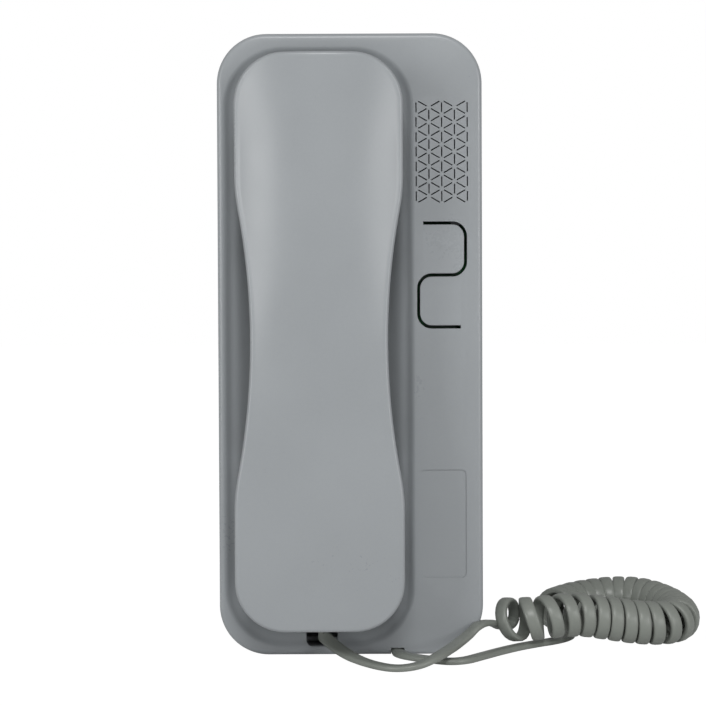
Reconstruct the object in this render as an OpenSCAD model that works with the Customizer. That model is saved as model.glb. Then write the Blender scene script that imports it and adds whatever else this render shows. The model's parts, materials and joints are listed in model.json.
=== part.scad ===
// Wall audio intercom: a shallow base with a cradle for a waisted handset, a call speaker
// behind a slit grille, two sprung tongue buttons and a curly cord that lies beside the base.
// Every piece is drawn lying on its back: x to the right, y towards the earpiece, z out of
// the wall. stand() then turns it upright, with the origin at the middle of the back face.

/* [Base] */
// Width of the base
base_w = 80; // [76:1:86]
// Height of the base on the wall
base_h = 188; // [184:1:210]
// Depth from the wall to the front panel
base_depth = 22; // [21:0.5:28]
// Corner radius of the base seen from the front
base_corner_r = 15; // [10:0.5:18]
// Rounding of the cover's front edge
edge_r = 2.5; // [1:0.25:3.5]
// Depth of the rear housing up to the parting line
rear_depth = 8; // [7:0.5:9]
// Wall thickness of the housings
wall = 2; // [1.6:0.1:2.4]
// Distance between the two wall screws
wall_screw_spacing = 120; // [100:1:130]
// Diameter of the wall screw holes
wall_screw_d = 4.6; // [4:0.1:5.4]
// Diameter of the cable entry in the back
cable_entry_d = 12; // [8:0.5:14]

/* [Cradle] */
// Depth of the cradle below the front panel
cradle_depth = 6; // [5:0.25:6.5]
// Width of the sloping sides of the cradle
cradle_slope = 9; // [7:0.25:10]
// Rim between the cradle and the left edge of the base
cradle_left_rim = 1.7; // [1.4:0.1:3]
// Rim between the cradle and the top edge of the base
cradle_top_rim = 4; // [2.6:0.1:5]
// Rim between the cradle and the bottom edge of the base
cradle_bottom_rim = 2; // [1.6:0.1:3]
// Gap between the handset's side and the left edge of the cradle
cradle_left_gap = 4.7; // [4.2:0.1:5.4]
// Gap between the handset's side and the right edge of the cradle
cradle_right_gap = 3.8; // [3:0.1:4.2]
// Corner radius of the cradle at the front panel
cradle_corner_r = 18; // [14:0.5:20]
// Width of the strip beside the cradle that holds the grille and the buttons
strip_w = 18.6; // [17.6:0.1:20]

/* [Handset] */
// How much shorter the handset is than the base
handset_short = 20.5; // [18:0.5:26]
// Length of each head from its end to the foot of the arch
head_l = 43.75; // [42:0.25:46]
// Width of the grip at its narrowest
waist_w = 40; // [36:0.5:44]
// Radius of the hollow sides of the grip
waist_r = 206; // [190:1:260]
// Corner radius of the heads seen from the front
handset_corner_r = 14.5; // [10:0.5:18]
// Thickness of the handset at the heads
handset_t = 28; // [26:0.5:32]
// Radius of the crowned outer face
crown_r = 75; // [60:1:140]
// Thickness of the grip
grip_t = 21; // [19:0.5:23]
// Wall thickness of the handset shells
shell_wall = 2; // [1.6:0.1:2.4]
// Distance of the handset's middle above the base's middle
handset_up = 1.1; // [0:0.1:2]

/* [Buttons and grille] */
// Spacing of the grille's points
grille_pitch = 4.45; // [4:0.05:4.6]
// Width of a grille slit
grille_slit_w = 0.5; // [0.4:0.05:0.8]
// Solid bridge left at each grille point
grille_bridge = 0.8; // [0.6:0.05:1.2]
// Distance of the grille's centre below the base's top edge
grille_down = 35.8; // [34:0.1:38]
// Distance of the upper button's centre below the base's top edge
door_down = 65.1; // [62:0.1:68]
// Width of a tongue button between slit centres
button_w = 14.2; // [12:0.1:14.6]
// Height of a tongue button between slit centres
button_h = 15.7; // [12:0.1:16.5]
// Width of the slit around the buttons
button_slit = 0.95; // [0.7:0.05:1.1]
// Corner radius of the slit's centre line
button_corner_r = 4; // [2.5:0.25:5]
// Width of the bare name plate
plate_w = 13.9; // [10:0.1:14.5]
// Height of the bare name plate
plate_h = 32.7; // [20:0.1:36]
// Distance of the name plate's centre above the base's bottom edge
plate_up = 39.8; // [30:0.1:44]

/* [Circuit board] */
// Thickness of the circuit board
board_t = 1.6; // [1:0.1:2]
// Length of a switch stem above its body
stem_l = 6; // [5:0.1:6.6]

/* [Cord] */
// Width of the flat cord
cord_w = 3.8; // [2.6:0.1:4]
// Thickness of the flat cord
cord_t = 1.9; // [1.6:0.1:2]
// Radius of the curls to the cord's centre
curl_r = 5.8; // [5:0.1:6]
// Number of whole curls before the last part turn
curls = 22; // [18:1:24]

/* [Hidden] */

plastic = [0.57, 0.59, 0.6];
dark_plastic = [0.2, 0.21, 0.22];
steel = [0.72, 0.73, 0.75];
board_green = [0.12, 0.36, 0.2];
rubber = [0.16, 0.16, 0.16];
cord_grey = [0.5, 0.52, 0.5];

// Facets asked of round shapes, and of shapes that are blended by a hull
round_fn = 64;
blend_fn = 32;
// Cuts run this far past the face that they open
past = 1;
// Gap between pieces that move past each other, and between pieces that are fitted together
move_gap = 0.3;
fit_gap = 0.1;

// Base levels, measured out from the wall
panel_under = base_depth - wall;
cradle_floor = base_depth - cradle_depth;
cradle_under = cradle_floor - wall;
lip_h = 2;
lip_t = 1.2;

// Hook plunger and its switch, stacked under the cradle's floor down to the circuit board
plunger_d = 6;
plunger_flange_d = 8.4;
plunger_flange_t = 1;
plunger_travel = 2.4;
plunger_rest = cradle_under - move_gap - plunger_travel;
hook_gap = 0.6;
hook_switch_h = 1.6;
board_top = plunger_rest - plunger_flange_t - hook_gap - hook_switch_h;
board_z = board_top - board_t;

// Handset placing and levels
handset_l = base_h - handset_short;
handset_w = base_w - cradle_left_rim - cradle_left_gap - cradle_right_gap - strip_w - wall;
handset_x = -base_w / 2 + cradle_left_rim + cradle_left_gap + handset_w / 2;
handset_y = handset_up;
rest_gap = 2;
handset_under = cradle_floor + rest_gap;
handset_top = handset_under + handset_t;
handset_split = handset_top - grip_t + shell_wall;
grip_under = handset_split - shell_wall;
ear_end = handset_y + handset_l / 2;
mouth_end = handset_y - handset_l / 2;
chamfer_in = 6;
chamfer_top = handset_split - 4;
arch_run = 10;
arch_half = handset_l / 2 - head_l - arch_run;
end_round = 5;

// Cradle edges at the front panel
cradle_left = -base_w / 2 + cradle_left_rim;
cradle_right = handset_x + handset_w / 2 + cradle_right_gap;
cradle_top = base_h / 2 - cradle_top_rim;
cradle_bottom = -base_h / 2 + cradle_bottom_rim;
cradle_x = (cradle_left + cradle_right) / 2;
cradle_y = (cradle_top + cradle_bottom) / 2;
cradle_w = cradle_right - cradle_left;
cradle_h = cradle_top - cradle_bottom;

// Middle of the strip to the right of the cradle
strip_shift = 0.9;
strip_x = cradle_right + strip_w / 2 - strip_shift;
grille_columns = 5;
grille_rows = 7;
column_step = grille_pitch * sqrt(3) / 2;
grille_y = base_h / 2 - grille_down;
door_y = base_h / 2 - door_down;
aux_y = door_y - button_h;
button_left = strip_x - button_w / 2;
button_right = strip_x + button_w / 2;
button_root = 1.45;
door_hinge_x = button_left + button_root;
aux_hinge_x = button_right - button_root;
press_arm = 9;
press_turn = 4;
press_gap = press_arm * sin(press_turn) + fit_gap;
door_press_x = door_hinge_x + press_arm;
aux_press_x = aux_hinge_x - press_arm;
press_d = 3.2;
plate_y = -base_h / 2 + plate_up;
plate_sink = 0.3;
plate_r = 1.5;

switch_size = 6;
switch_h = 3.5;
stem_d = 3.4;
switch_top = board_top + switch_h;
stem_top = switch_top + stem_l;

// Hook plunger's place
plunger_in = 9.6;
plunger_x = handset_x + handset_w / 2 - plunger_in;
plunger_y = handset_y - arch_half - arch_run - 6.6;

// Places of the fasteners; the handset's screws lie above the cover's
screw_reach = arch_half - 8;
cover_screw_ys = [handset_y + screw_reach, handset_y - screw_reach];
handset_screw_ys = cover_screw_ys;
boss_d = 8;
screw_d = 3;
screw_head_d = 5.6;
screw_head_h = 1.2;
screw_end_gap = 2.8;
cover_screw_l = cradle_floor - screw_head_h - wall - screw_end_gap;
board_edge = 3.5;
board_reach = 3;
board_x0 = plunger_x - board_reach;
board_x1 = base_w / 2 - wall - 1.5;
board_y0 = plunger_y - 4.5;
board_y1 = door_y + 13.1;
board_screw_d = 2;
board_screw_head_d = 4;
board_screw_head_h = 1.4;
board_screw_l = board_top - wall - 0.5;
handset_screw_sink = 1;
handset_screw_head_h = 0.9;
handset_skin = 7;
handset_hole_end = handset_top - handset_skin;
handset_screw_end_gap = 4;
handset_screw_l = handset_hole_end - grip_under - handset_screw_end_gap;

// Cable entry in the back, beside the wall screws
cable_in = 12;
cable_up = 28;
cable_x = base_w / 2 - cable_in;
cable_y = -base_h / 2 + cable_up;

// Terminal block
terminal_w = 10.5;
terminal_l = 19;
terminal_h = 10;
terminal_gap = 3.25;
terminal_x = base_w / 2 - wall - terminal_gap - terminal_w / 2;
terminal_y = board_y0 + terminal_l / 2 + 2;
terminal_poles = 4;
terminal_step = 4.6;
terminal_shift = 1.5;
terminal_well_d = 4.4;
terminal_well_h = 4;
terminal_wire_d = 2.8;
terminal_wire_z = 3;
terminal_screw_h = 2.6;
terminal_slot_w = 0.7;
terminal_slot_h = 1;
board_screws_at = [
    [board_x0 + board_edge, board_y1 - board_edge], [board_x1 - board_edge, board_y1 - board_edge],
    [(plunger_x + terminal_x) / 2, board_y0 + board_edge], [terminal_x + 2.5, terminal_y + terminal_l / 2 + 7]
];

// Hang peg and rest pads of the cradle
peg_d = 5;
peg_y = handset_y + arch_half + arch_run + 2.4;
peg_top = handset_under + 4;
pad_d = 6;
pad_in = 10.6;
pad_end = 22.75;
pad_reach = [handset_w / 2 - pad_in, handset_l / 2 - pad_end];

// Capsules of the handset
ear_y = ear_end - 22.4;
mouth_y = mouth_end + 18.6;
inner_face = handset_under + shell_wall;
ear_margin = 9.6;
ear_d = handset_w - 2 * ear_margin;
ear_dish = 0.6;
ear_hole_d = 2.2;
ear_hole_ring = 7;
ear_capsule_h = 8;
ear_rim_h = ear_capsule_h / 2;
gasket_ring_t = 0.8;
gasket_ring_w = 3.5;
capsule_z0 = inner_face + gasket_ring_t;
mic_d = 9.7;
mic_h = 6;
mic_floor = 1;
mic_hole_d = 1.6;
mic_hole_step = 3;
mic_boot_d = 13;
mic_boot_h = mic_floor + mic_h - 0.6;
boot_z = handset_under + 5;
boot_w = 8;
boot_h = 5;
boot_out = 2;
boot_in = 7.6;
boot_flange = 0.4;
boot_flange_t = 1.6;

// Cord notch in the bottom wall, and the pocket under the handset's cord
gland_in = 26;
gland_x = base_w / 2 - gland_in;
gland_w = 6.4;
gland_h = 2.6;
gland_z0 = rear_depth + 1;
gland_z1 = base_depth - 6;
groove_w = cord_w + 2 * fit_gap;
pocket_w = 9.5;
pocket_low = 2.6;
pocket_r = 1.8;
pocket_floor = cradle_under + 0.2;

// Speaker behind the grille
speaker_x = strip_x + 0.7;
speaker_w = 13.6;
speaker_l = 30;
gasket_t = 0.6;
speaker_depth = 4;
speaker_top = panel_under - gasket_t;
speaker_floor = 0.8;
speaker_rim = 1;
cone_sink = 1.2;
cone_t = 0.6;
gasket_rim = 1.2;
magnet_d = 11;
magnet_h = 5;

// Where the leads lie: the table, the base's right side, and the unit that their routes are drawn in
table_y = -base_h / 2;
lie_y = table_y + cord_t / 2;
side_x = base_w / 2;
front_z = base_depth;
lay_unit = 10;
function lay_at(x0, x, lift, z) = [x0 + x * lay_unit, lie_y + lift * lay_unit, front_z + z * lay_unit];
// Route of the lead from the handset to the coil, up to where the first curl takes over
lead_out = mouth_end - boot_out - move_gap;
lead_straight = 1.2;
handset_lead_points = [
    [handset_x, lead_out, boot_z], [handset_x, lead_out - lead_straight, boot_z],
    [handset_x, lead_out - 2 * lead_straight, boot_z], lay_at(handset_x, 0.16, 0.44, 0.28),
    lay_at(handset_x, 0.44, 0.28, 0.64), lay_at(handset_x, 0.92, 0.12, 1.34),
    lay_at(handset_x, 1.44, 0.03, 1.88), lay_at(handset_x, 1.99, 0, 2.3),
    lay_at(handset_x, 2.45, 0.03, 2.46), lay_at(side_x, -2, 0.11, 2.4),
    lay_at(side_x, -1.53, 0.25, 2.06), lay_at(side_x, -1.18, 0.32, 1.46),
    lay_at(side_x, -0.88, 0.39, 0.9), lay_at(side_x, -0.51, 0.57, 0.42),
    lay_at(side_x, -0.18, 0.82, 0.24), lay_at(side_x, 0.17, 0.94, -0.1),
    lay_at(side_x, 0.35, 1.01, -0.42), lay_at(side_x, 0.47, 1.1, -0.5)
];
// Route of the lead from the base to the far end of the coil
base_lead_points = [
    [gland_x, lie_y, gland_z1], lay_at(gland_x, 0, 0, -0.04), lay_at(gland_x, 0.07, 0, 0.4),
    lay_at(gland_x, 0.37, 0, 0.78), lay_at(gland_x, 0.89, 0, 1.14),
    lay_at(side_x, -1.14, 0, 1.44), lay_at(side_x, -0.64, 0, 1.42),
    lay_at(side_x, -0.14, 0, 0.98), lay_at(side_x, 0.46, 0, 0.34),
    lay_at(side_x, 1.1, 0, -0.32), lay_at(side_x, 1.7, 0, -0.9),
    lay_at(side_x, 2.3, 0, -1.4), lay_at(side_x, 2.76, 0, -2),
    lay_at(side_x, 2.96, 0, -2.7), lay_at(side_x, 2.9, 0, -3.45)
];
// Middle line of the coil: out to the right over the base lead, round, and back behind itself
function coil_at(x, lift, z) = lay_at(side_x, x, lift, z) + [0, curl_r, 0];
coil_points = [
    coil_at(0.9, 0.22, -0.15), coil_at(1.18, 0.26, -0.54), coil_at(1.64, 0.3, -0.86),
    coil_at(2.26, 0.34, -1.04), coil_at(3, 0.33, -1.14), coil_at(3.8, 0.22, -1.22),
    coil_at(4.55, 0.1, -1.3), coil_at(5.25, 0.02, -1.38),
    coil_at(5.86, 0, -1.6), coil_at(6.32, 0, -2.06), coil_at(6.52, 0, -2.74), coil_at(6.49, 0, -3.48),
    coil_at(6.2, 0, -4.2), coil_at(5.68, 0, -4.76), coil_at(5, 0, -5.09), coil_at(4.26, 0, -5.12),
    coil_at(3.58, 0, -4.9), coil_at(3.04, 0, -4.52), coil_at(2.65, 0, -4.04)
];
curl_rings = 8;
curl_sides = 6;
lead_sides = 8;
lead_steps = 3;
first_turn = 0.3;
last_turn = 0.25;
path_steps = 6;
first_phase = -45;
last_rings = 5;
ring_count = curls * curl_rings + last_rings;
// How much wider the first curls are pulled than the rest, and the curls round the bend
open_start = 1.1;
open_curls = 5;
open_bend = 0.5;
bend_curl = 10;
bend_span = 8;

function unit(v) = v / norm(v);
function blend_point(a, b, c, d, t) =
    0.5 * (2 * b + (c - a) * t + (2 * a - 5 * b + 4 * c - d) * t * t + (3 * b - a - 3 * c + d) * t * t * t);
function at(p, i) = i < 0 ? 2 * p[0] - p[1] : i >= len(p) ? 2 * p[len(p) - 1] - p[len(p) - 2] : p[i];
// A smooth line through hand-chosen points
function smooth(p, n) = concat(
    [for (i = [0:len(p) - 2], k = [0:n - 1]) blend_point(at(p, i - 1), p[i], p[i + 1], at(p, i + 2), k / n)],
    [p[len(p) - 1]]
);
function direction(p, i) = unit(at(p, i + 1) - at(p, i - 1));
function across(v, t) = unit(v - (v * t) * t);
// One ring of a flat cord: n is the way through its thickness, t the way that it runs
function ring(c, t, n, sides) = let (half = 180 / sides, first = sides % 4 == 0 ? half : 0)
    [for (k = [0:sides - 1]) let (a = first + 2 * half * k)
        c + n * (cord_t / 2 / cos(half)) * sin(a) + cross(t, n) * (cord_w / 2 / cos(first)) * cos(a)];
function tube_faces(rings, sides) = concat(
    [for (i = [0:rings - 2], k = [0:sides - 1]) let (a = i * sides + k, b = i * sides + (k + 1) % sides)
        each [[a, b, b + sides], [a, b + sides, a + sides]]],
    [for (k = [1:sides - 2]) [0, k + 1, k]],
    [for (k = [1:sides - 2]) let (e = (rings - 1) * sides) [e, e + k, e + k + 1]]
);
module tube(rings, sides) {
    polyhedron(points = [for (r = rings) each r], faces = tube_faces(len(rings), sides));
}

// The coil's middle line, its running length, and the curls wound on it
coil_line = smooth(coil_points, path_steps);
function running(p, i = 1, sum = 0) = i == len(p) ? [sum]
    : concat([sum], running(p, i + 1, sum + norm(p[i] - p[i - 1])));
coil_run = running(coil_line);
function opening(m) = 1 + open_start * pow(max(0, 1 - m / open_curls), 2)
    + open_bend * max(0, 1 - pow((m - bend_curl) / bend_span, 2));
function advance(k = 0, sum = 0) = k == ring_count ? [sum]
    : concat([sum], advance(k + 1, sum + opening((k + 0.5) / curl_rings)));
ring_run = advance();
function place(s) = let (i = min(len(coil_run) - 2, len([for (r = coil_run) if (r <= s) 1]) - 1))
    [i, (s - coil_run[i]) / (coil_run[i + 1] - coil_run[i])];
function curl_spot(k) = let (
    at_run = place(ring_run[k] / ring_run[ring_count] * coil_run[len(coil_run) - 1]),
    i = at_run[0],
    mid = coil_line[i] * (1 - at_run[1]) + coil_line[i + 1] * at_run[1],
    along = unit(direction(coil_line, i) * (1 - at_run[1]) + direction(coil_line, i + 1) * at_run[1]),
    side = unit(cross(along, [0, 1, 0])),
    phase = first_phase + 360 * k / curl_rings
) [mid, cos(phase) * cross(side, along) + sin(phase) * side];
curl_spots = [for (k = [0:ring_count]) curl_spot(k)];
curl_line = [for (s = curl_spots) s[0] + curl_r * s[1]];
curl_ring_list = [for (k = [0:ring_count]) let (t = direction(curl_line, k))
    ring(curl_line[k], t, across(curl_spots[k][1], t), curl_sides)];
// Least distance between points of the cord that lie more than half a curl apart along it
curl_gap = min([for (i = [0:ring_count], j = [i + curl_rings / 2 + 1:1:ring_count])
    if (norm(curl_line[i] - curl_line[j]) < 3 * cord_w)
        for (a = curl_ring_list[i], b = curl_ring_list[j]) norm(a - b)]);
echo(least_gap_between_curls = curl_gap);

// Lays a flat cord along a line: it starts and ends with the sides given, and lies flat between
module flat_cord(points, first_side, last_side) {
    line = smooth(points, lead_steps);
    last = len(line) - 1;
    function side_at(f) = f < first_turn ? first_side * (1 - f / first_turn) + [0, 1, 0] * f / first_turn
        : f > 1 - last_turn ? last_side * (f - 1 + last_turn) / last_turn + [0, 1, 0] * (1 - f) / last_turn
        : [0, 1, 0];
    tube([for (i = [0:last]) let (t = direction(line, i))
        ring(line[i], t, across(side_at(i / last), t), lead_sides)], lead_sides);
}

module stand() { rotate([90, 0, 0]) children(); }

// Outline shapes
module rounded_rect(w, h, r) {
    square([w - 2 * r, h], center = true);
    square([w, h - 2 * r], center = true);
    for (x = [-1, 1], y = [-1, 1])
        translate([x * (w / 2 - r), y * (h / 2 - r)]) circle(r, $fn = round_fn);
}
module stadium(w, l) {
    square([w, l - w], center = true);
    for (y = [-1, 1]) translate([0, y * (l - w) / 2]) circle(w / 2, $fn = round_fn);
}
module plate(w, h, r, z0, z1) {
    translate([0, 0, z0]) linear_extrude(z1 - z0) rounded_rect(w, h, r);
}
module round_bar(d, z0, z1) { translate([0, 0, z0]) cylinder(d = d, h = z1 - z0, $fn = round_fn); }

// Block with upright sides and a rounded front edge
module edge_profile(r, e, z0, z1) {
    polygon(concat([[0, z0], [r, z0]],
        [for (a = [0:15:90]) [r - e + e * cos(a), z1 - e + e * sin(a)]], [[0, z1]]));
}
module edged_block(w, h, r, e, z0, z1) {
    for (i = [0:3])
        translate([(i == 0 || i == 3 ? 1 : -1) * (w / 2 - r), (i < 2 ? 1 : -1) * (h / 2 - r), 0])
            rotate(90 * i) rotate_extrude(angle = 90, $fn = round_fn) edge_profile(r, e, z0, z1);
    for (a = [0, 180]) rotate(a) {
        translate([w / 2 - r, h / 2 - r, 0]) rotate([90, 0, 0])
            linear_extrude(h - 2 * r) edge_profile(r, e, z0, z1);
        translate([-w / 2 + r, h / 2 - r, 0]) rotate([90, 0, 90])
            linear_extrude(w - 2 * r) edge_profile(r, e, z0, z1);
    }
    translate([-w / 2 + r, -h / 2 + r, z0]) cube([w - 2 * r, h - 2 * r, z1 - z0]);
}

// The cradle's hollow, grown by g on all sides, from its floor up to z1
module cradle_form(g, z1) {
    steep = sqrt(1 + pow(cradle_slope / cradle_depth, 2));
    function out_at(z) = (z - base_depth) / cradle_depth * cradle_slope + g * steep;
    translate([cradle_x, cradle_y, 0]) hull() for (z = [cradle_floor - g, z1])
        translate([0, 0, z]) linear_extrude(0.01) rounded_rect(cradle_w + 2 * out_at(z),
            cradle_h + 2 * out_at(z), max(1, cradle_corner_r + out_at(z)), $fn = blend_fn);
}
module cord_pocket(g) {
    low = -base_h / 2 + pocket_low;
    high = mouth_end;
    translate([handset_x, (low + high) / 2, pocket_floor - g])
        linear_extrude(base_depth + past - pocket_floor + g)
            rounded_rect(pocket_w + 2 * g, high - low + 2 * g, pocket_r + g);
}

// Grille: a slit on every edge of a net of triangles
function grille_point(c, k) = [(c - (grille_columns - 1) / 2) * column_step,
    (k - grille_rows / 2 + (c % 2) / 2) * grille_pitch];
module grille_slit(a, b) {
    translate((a + b) / 2) rotate(atan2(b[1] - a[1], b[0] - a[0]))
        square([norm(b - a) - 2 * grille_bridge, grille_slit_w], center = true);
}
module grille_slits() {
    for (c = [0:grille_columns - 1], k = [0:grille_rows - 1 - c % 2])
        grille_slit(grille_point(c, k), grille_point(c, k + 1));
    for (c = [1:2:grille_columns - 1], k = [0:grille_rows - 1], s = [-1, 1], up = [0, 1])
        grille_slit(grille_point(c, k), grille_point(c + s, k + up));
}

// A tongue area with round corners at its free end, grown by g; free is 1 at the right, -1 at the left
module tongue_area(hinge_x, end_x, y, g, free) {
    r = button_corner_r + g;
    h = button_h + 2 * g;
    reach = abs(end_x - hinge_x) + g;
    translate([hinge_x, y]) mirror([free < 0 ? 1 : 0, 0]) {
        translate([0, -h / 2]) square([reach - r, h]);
        translate([reach - r, -h / 2 + r]) square([r, h - 2 * r]);
        for (s = [-1, 1]) translate([reach - r, s * (h / 2 - r)]) circle(r, $fn = round_fn);
    }
}
module door_area(g) { tongue_area(door_hinge_x, button_right, door_y, g, 1); }
module aux_area(g) { tongue_area(aux_hinge_x, button_left, aux_y, g, -1); }
module corner_fill(hinge_x, free, y) {
    translate([hinge_x, y]) mirror([free < 0 ? 1 : 0, 0])
        translate([0, -button_slit]) square([button_corner_r, 2 * button_slit]);
}

module screw(head_d, head_h, shank_d, length) {
    difference() {
        union() {
            round_bar(head_d, 0, head_h);
            round_bar(shank_d, -length, 0);
        }
        for (a = [0, 90]) rotate(a)
            translate([-head_d * 0.34, -head_d * 0.08, head_h / 2])
                cube([head_d * 0.68, head_d * 0.16, head_h]);
    }
}

module rear_housing() {
    color(plastic) stand() difference() {
        union() {
            difference() {
                plate(base_w, base_h, base_corner_r, 0, rear_depth);
                plate(base_w - 2 * wall, base_h - 2 * wall, base_corner_r - wall, wall, rear_depth + past);
            }
            difference() {
                lip_in = wall + fit_gap;
                plate(base_w - 2 * lip_in, base_h - 2 * lip_in, base_corner_r - lip_in,
                    wall, rear_depth + lip_h);
                plate(base_w - 2 * (lip_in + lip_t), base_h - 2 * (lip_in + lip_t),
                    base_corner_r - lip_in - lip_t, wall - past, rear_depth + lip_h + past);
                translate([gland_x - gland_w, -base_h / 2, rear_depth])
                    cube([2 * gland_w, 4 * wall, lip_h + past]);
            }
            for (y = cover_screw_ys) translate([handset_x, y, 0])
                round_bar(boss_d, wall, cradle_under - fit_gap);
            for (p = board_screws_at) translate(p) round_bar(boss_d - 2, wall, board_z);
        }
        for (y = cover_screw_ys) translate([handset_x, y, 0])
            round_bar(screw_d + 2 * fit_gap, wall, cradle_floor);
        for (p = board_screws_at) translate(p)
            round_bar(board_screw_d + 2 * fit_gap, wall, board_z + past);
        for (s = [-1, 1]) translate([0, s * wall_screw_spacing / 2, 0])
            round_bar(wall_screw_d, -past, wall + past);
        translate([cable_x, cable_y, 0]) round_bar(cable_entry_d, -past, wall + past);
    }
}

module front_cover() {
    color(plastic) stand() difference() {
        union() {
            difference() {
                edged_block(base_w, base_h, base_corner_r, edge_r, rear_depth, base_depth);
                plate(base_w - 2 * wall, base_h - 2 * wall, base_corner_r - wall,
                    rear_depth - past, panel_under);
            }
            intersection() {
                plate(base_w - wall, base_h - wall, base_corner_r - wall / 2,
                    rear_depth + lip_h, panel_under + wall / 2);
                union() {
                    cradle_form(wall, base_depth);
                    cord_pocket(wall);
                }
            }
            translate([gland_x, -base_h / 2 + wall + gland_h / 2, 0])
                gland_frame(gland_w + 2 * wall, gland_h, rear_depth + lip_h, panel_under);
        }
        difference() {
            cradle_form(0, base_depth + past);
            translate([handset_x, peg_y, 0]) round_bar(peg_d, cradle_floor - past, peg_top);
            for (sx = [-1, 1], sy = [-1, 1])
                translate([handset_x + sx * pad_reach[0], handset_y + sy * pad_reach[1], 0])
                    round_bar(pad_d, cradle_floor - past, handset_under - move_gap);
        }
        cord_pocket(0);
        for (y = cover_screw_ys) translate([handset_x, y, 0]) {
            round_bar(screw_d + 2 * fit_gap, cradle_under - past, cradle_floor + past);
            round_bar(screw_head_d + 4 * fit_gap, cradle_floor - screw_head_h, cradle_floor + past);
        }
        translate([plunger_x, plunger_y, 0])
            round_bar(plunger_d + 2 * move_gap, cradle_under - past, cradle_floor + past);
        translate([strip_x, grille_y, panel_under - past]) linear_extrude(wall + 2 * past) grille_slits();
        translate([0, 0, panel_under - past]) linear_extrude(wall + 2 * past) {
            door_area(button_slit / 2);
            aux_area(button_slit / 2);
        }
        translate([strip_x, plate_y, 0])
            plate(plate_w, plate_h, plate_r, base_depth - plate_sink, base_depth + past);
        translate([gland_x, -base_h / 2 + gland_h / 2, 0])
            gland_frame(gland_w, gland_h + past, rear_depth - past, gland_z1);
        translate([gland_x - groove_w / 2, -base_h / 2 - past, gland_z1 - past])
            cube([groove_w, cord_t + move_gap + past, base_depth]);
    }
}
// Upright block that reaches as far below its middle as above it
module gland_frame(w, h, z0, z1) {
    translate([-w / 2, -h / 2, z0]) cube([w, h, z1 - z0]);
}

module cover_screws() {
    color(steel) stand() for (y = cover_screw_ys)
        translate([handset_x, y, cradle_floor - screw_head_h])
            screw(screw_head_d, screw_head_h, screw_d, cover_screw_l);
}

module circuit_board() {
    color(board_green) stand() difference() {
        translate([board_x0, board_y0, board_z]) cube([board_x1 - board_x0, board_y1 - board_y0, board_t]);
        for (p = board_screws_at) translate(p)
            round_bar(board_screw_d + 2 * fit_gap, board_z - past, board_top + past);
    }
}

module board_screws() {
    color(steel) stand() for (p = board_screws_at)
        translate([p[0], p[1], board_top])
            screw(board_screw_head_d, board_screw_head_h, board_screw_d, board_screw_l);
}

function pole_y(i) = terminal_y + (i - (terminal_poles - 1) / 2) * terminal_step;
module terminal_block() {
    color(dark_plastic) stand() difference() {
        translate([terminal_x - terminal_w / 2, terminal_y - terminal_l / 2, board_top])
            cube([terminal_w, terminal_l, terminal_h]);
        for (i = [0:terminal_poles - 1]) translate([terminal_x + terminal_shift, pole_y(i), board_top]) {
            round_bar(terminal_well_d, terminal_h - terminal_well_h, terminal_h + past);
            translate([-terminal_w, 0, terminal_wire_z]) rotate([0, 90, 0])
                cylinder(d = terminal_wire_d, h = terminal_w, $fn = round_fn);
        }
    }
}

module terminal_screws() {
    color(steel) stand() for (i = [0:terminal_poles - 1])
        translate([terminal_x + terminal_shift, pole_y(i), board_top + terminal_h - terminal_well_h])
            difference() {
                round_bar(terminal_well_d - 2 * fit_gap, 0, terminal_screw_h);
                translate([-terminal_well_d / 2, -terminal_slot_w / 2, terminal_screw_h - terminal_slot_h])
                    cube([terminal_well_d, terminal_slot_w, terminal_slot_h + past]);
            }
}

// Push switch: a square body with a long stem
module push_switch(x, y) {
    translate([x, y, 0]) {
        translate([-switch_size / 2, -switch_size / 2, board_top]) cube([switch_size, switch_size, switch_h]);
        round_bar(stem_d, switch_top - fit_gap, stem_top);
    }
}
module door_switch() { color(dark_plastic) stand() push_switch(door_press_x, door_y); }
module aux_switch() { color(dark_plastic) stand() push_switch(aux_press_x, aux_y); }

// Tongue buttons: each is cut free by the slit and bends at its root
module door_button() {
    color(plastic) stand() {
        translate([0, 0, panel_under]) linear_extrude(wall) difference() {
            union() {
                door_area(-button_slit / 2);
                corner_fill(door_hinge_x, 1, door_y - button_h / 2);
            }
            aux_area(button_slit / 2);
        }
        translate([door_press_x, door_y, 0]) round_bar(press_d, stem_top + press_gap, panel_under + wall / 2);
    }
}
module aux_button() {
    color(plastic) stand() {
        translate([0, 0, panel_under]) linear_extrude(wall) difference() {
            union() {
                aux_area(-button_slit / 2);
                corner_fill(aux_hinge_x, -1, aux_y + button_h / 2);
            }
            door_area(button_slit / 2);
        }
        translate([aux_press_x, aux_y, 0]) round_bar(press_d, stem_top + press_gap, panel_under + wall / 2);
    }
}

module hook_switch() {
    color(dark_plastic) stand() translate([plunger_x, plunger_y, 0])
        translate([-switch_size / 2, -switch_size / 2, board_top])
            cube([switch_size, switch_size, hook_switch_h]);
}
module hook_plunger() {
    color(dark_plastic) stand() translate([plunger_x, plunger_y, 0]) {
        round_bar(plunger_d, plunger_rest, handset_under - move_gap);
        round_bar(plunger_flange_d, plunger_rest - plunger_flange_t, plunger_rest);
    }
}

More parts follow.
